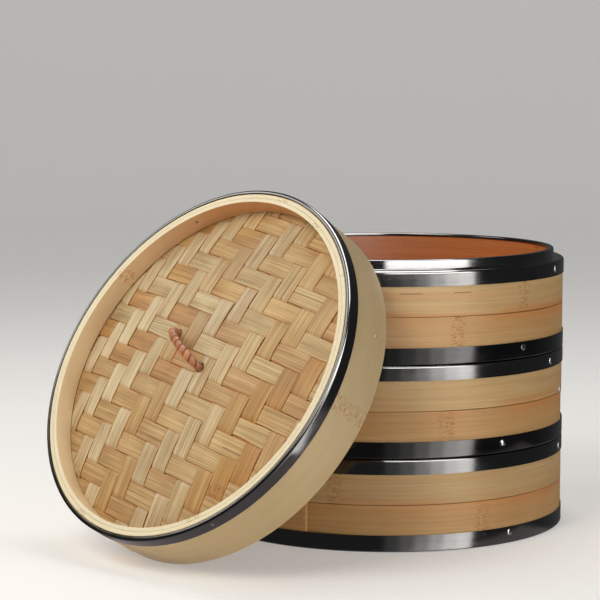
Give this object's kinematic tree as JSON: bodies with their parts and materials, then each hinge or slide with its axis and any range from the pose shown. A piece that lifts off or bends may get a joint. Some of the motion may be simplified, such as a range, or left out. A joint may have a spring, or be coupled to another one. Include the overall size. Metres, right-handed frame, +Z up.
{
  "type": "bamboo steamer",
  "caption": "Stack of round bamboo steamer tiers with polished steel collars and bands, slatted floors, and a domed woven lid with a wound cane handle, leaning against the stack.",
  "frame": {"origin": "middle of the whole footprint at floor level; the stack's axis is 62.7 mm towards +Y from it", "axes": "+Z up along the stack's axis; -Y from the stack towards the leaning lid; +X to the right as seen facing the lid's woven side"},
  "size_m": [0.2558, 0.3812, 0.2388],
  "materials": {
    "steel": "polished stainless steel sheet with fine scratches round the band",
    "wall_bamboo": "sanded bent bamboo with fine grain round the wall and speckled nodes",
    "inner_bamboo": "warm orange-brown bamboo, satin",
    "slat_bamboo": "split bamboo, planed",
    "lid_bamboo": "pale bent bamboo, layered at its edges",
    "woven_bamboo": "wide bamboo strips in a twill weave, cream to tan",
    "cane": "reddish cane strip wound round a core, slightly glossy"
  },
  "bodies": {
    "bottom_tier": {"bottom_tier_top_collar": "steel", "bottom_tier_bottom_band": "steel", "bottom_tier_upper_board": "wall_bamboo", "bottom_tier_lower_board": "wall_bamboo", "bottom_tier_backing_hoop": "inner_bamboo", "bottom_tier_inner_hoop": "inner_bamboo", "bottom_tier_floor_ring": "inner_bamboo", "bottom_tier_cross_bar_1": "slat_bamboo", "bottom_tier_cross_bar_2": "slat_bamboo", "bottom_tier_slat_1": "slat_bamboo", "bottom_tier_slat_2": "slat_bamboo", "bottom_tier_slat_3": "slat_bamboo", "bottom_tier_slat_4": "slat_bamboo", "bottom_tier_slat_5": "slat_bamboo", "bottom_tier_slat_6": "slat_bamboo", "bottom_tier_slat_7": "slat_bamboo"},
    "middle_tier": {"middle_tier_top_collar": "steel", "middle_tier_bottom_band": "steel", "middle_tier_upper_board": "wall_bamboo", "middle_tier_lower_board": "wall_bamboo", "middle_tier_backing_hoop": "inner_bamboo", "middle_tier_inner_hoop": "inner_bamboo", "middle_tier_floor_ring": "inner_bamboo", "middle_tier_cross_bar_1": "slat_bamboo", "middle_tier_cross_bar_2": "slat_bamboo", "middle_tier_slat_1": "slat_bamboo", "middle_tier_slat_2": "slat_bamboo", "middle_tier_slat_3": "slat_bamboo", "middle_tier_slat_4": "slat_bamboo", "middle_tier_slat_5": "slat_bamboo", "middle_tier_slat_6": "slat_bamboo", "middle_tier_slat_7": "slat_bamboo"},
    "top_tier": {"top_tier_top_collar": "steel", "top_tier_bottom_band": "steel", "top_tier_upper_board": "wall_bamboo", "top_tier_lower_board": "wall_bamboo", "top_tier_backing_hoop": "inner_bamboo", "top_tier_inner_hoop": "inner_bamboo", "top_tier_floor_ring": "inner_bamboo", "top_tier_cross_bar_1": "slat_bamboo", "top_tier_cross_bar_2": "slat_bamboo", "top_tier_slat_1": "slat_bamboo", "top_tier_slat_2": "slat_bamboo", "top_tier_slat_3": "slat_bamboo", "top_tier_slat_4": "slat_bamboo", "top_tier_slat_5": "slat_bamboo", "top_tier_slat_6": "slat_bamboo", "top_tier_slat_7": "slat_bamboo"},
    "lid": {"lid_skirt": "lid_bamboo", "lid_band": "steel", "lid_lining_hoop": "lid_bamboo", "lid_rim_hoop": "lid_bamboo", "lid_retaining_hoop": "lid_bamboo", "lid_outer_weave": "woven_bamboo", "lid_inner_weave": "woven_bamboo", "lid_lath_1": "slat_bamboo", "lid_lath_2": "slat_bamboo", "lid_lath_3": "slat_bamboo", "lid_handle_loop": "cane"}
  },
  "joints": [
    {"name": "middle_tier_lift", "type": "slide", "parent": "bottom_tier", "child": "middle_tier", "axis": [0, 0, 1], "range_m": [0, 0.1]},
    {"name": "top_tier_lift", "type": "slide", "parent": "middle_tier", "child": "top_tier", "axis": [0, 0, 1], "range_m": [0, 0.1]},
    {"name": "lid_lift", "type": "slide", "parent": "top_tier", "child": "lid", "axis": [0, -0.8526, 0.5225], "range_m": [0, 0.12]}
  ]
}
